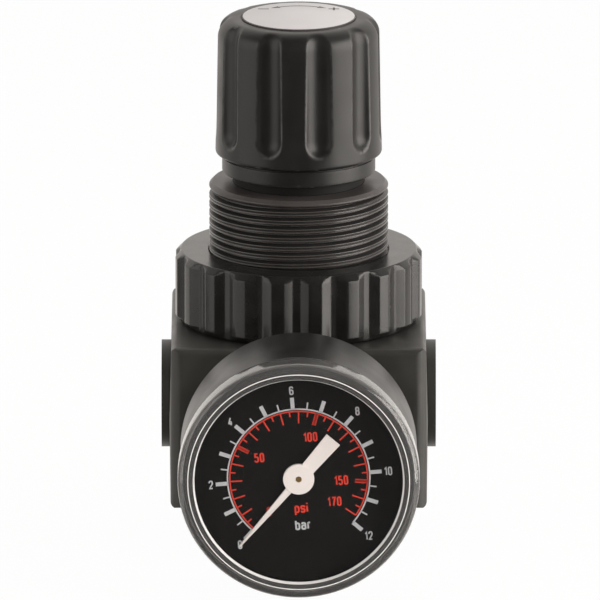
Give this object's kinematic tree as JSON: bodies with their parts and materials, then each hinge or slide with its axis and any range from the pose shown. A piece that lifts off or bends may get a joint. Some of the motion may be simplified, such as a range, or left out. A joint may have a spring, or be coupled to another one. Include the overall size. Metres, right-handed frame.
{
  "type": "pressure reducing valve",
  "caption": "Compressed-air pressure reducing valve with a die-cast body, ribbed clamp ring, panel thread, fluted push-to-lock knob and a round front gauge with a black dial and white pointer",
  "frame": {"origin": "on the bonnet's axis at the top of the clamp ring, where the panel thread starts", "axes": "+Z along the bonnet's axis, up to the knob; -Y to the front, where the gauge faces; air flows from the -X port to the +X port"},
  "size_m": [0.046, 0.0833, 0.0881],
  "materials": {
    "body_paint": "black paint, slightly textured",
    "black_plastic": "satin black moulding",
    "label_face": "printed pale grey disc",
    "steel": "zinc plated",
    "brass": "machined",
    "rubber": "moulded",
    "clear_plastic": "clear moulding",
    "dial_face": "printed black dial",
    "pointer_paint": "cream paint"
  },
  "bodies": {
    "housing": {"valve_body": "body_paint", "clamp_ring": "black_plastic", "bonnet": "black_plastic", "thrust_washer": "brass", "diaphragm": "rubber", "valve_spring": "steel", "stem_oring": "rubber", "bottom_cap": "black_plastic", "bottom_cap_oring": "rubber", "rear_plug": "steel", "rear_plug_seal": "rubber", "gauge_stem": "brass", "gauge_seal": "rubber", "gauge_case": "black_plastic", "case_screws": "steel", "gauge_window": "clear_plastic", "gauge_dial": "dial_face", "movement_back_plate": "brass", "movement_front_plate": "brass", "movement_pillars": "brass", "movement_screws": "steel", "bourdon_tube": "brass", "hairspring": "steel"},
    "spindle": {"adjusting_screw": "steel", "retaining_clip": "steel"},
    "knob_body": {"knob": "black_plastic", "knob_label": "label_face"},
    "nut_body": {"spring_nut": "brass"},
    "diaphragm_stack": {"diaphragm_plate": "steel", "relief_seat": "brass", "plate_nut": "steel", "range_spring": "steel"},
    "poppet": {"valve_stem": "brass", "valve_seal": "rubber"},
    "sector": {"sector_gear": "brass"},
    "link": {"link_rod": "steel", "tube_tip": "brass"},
    "pointer_body": {"pointer": "pointer_paint", "pinion_shaft": "brass"}
  },
  "joints": [
    {"name": "knob_turn", "type": "hinge", "parent": "housing", "child": "spindle", "pos_m": [0, 0, 0.02], "axis": [0, 0, -1], "range_deg": [0, 2160]},
    {"name": "nut_travel", "type": "slide", "parent": "housing", "child": "nut_body", "axis": [0, 0, -1], "range_m": [0, 0.0075], "deforming": ["range_spring"]},
    {"name": "knob_lock", "type": "slide", "parent": "spindle", "child": "knob_body", "axis": [0, 0, 1], "range_m": [-0.0016, 0]},
    {"name": "valve_stroke", "type": "slide", "parent": "housing", "child": "diaphragm_stack", "axis": [0, 0, 1], "range_m": [-0.0012, 0], "stiffness_N_per_m": 2000, "springref_m": 0.002, "deforming": ["diaphragm", "valve_spring", "range_spring"]},
    {"name": "poppet_stroke", "type": "slide", "parent": "housing", "child": "poppet", "axis": [0, 0, 1], "range_m": [-0.0012, 0], "deforming": ["diaphragm", "valve_spring"]},
    {"name": "sector_swing", "type": "hinge", "parent": "housing", "child": "sector", "pos_m": [0.00072, -0.04635, -0.03392], "axis": [0, -1, 0], "range_deg": [0, 45], "stiffness_Nm_per_rad": 0.02, "springref_deg": -2.86, "deforming": ["bourdon_tube", "hairspring"]},
    {"name": "link_swing", "type": "hinge", "parent": "sector", "child": "link", "pos_m": [-0.0006, -0.0473, -0.03801], "axis": [0, -1, 0], "range_deg": [-45, 0], "deforming": ["bourdon_tube"]},
    {"name": "pointer_turn", "type": "hinge", "parent": "housing", "child": "pointer_body", "pos_m": [0, -0.05, -0.0252], "axis": [0, 1, 0], "range_deg": [0, 270], "deforming": ["hairspring"]}
  ],
  "couplings": [
    {"joint": "nut_travel", "follows": "knob_turn", "m_per_rad": 0.00019894},
    {"joint": "poppet_stroke", "follows": "valve_stroke", "ratio": 1},
    {"joint": "link_swing", "follows": "sector_swing", "ratio": -1},
    {"joint": "pointer_turn", "follows": "sector_swing", "ratio": 6}
  ]
}
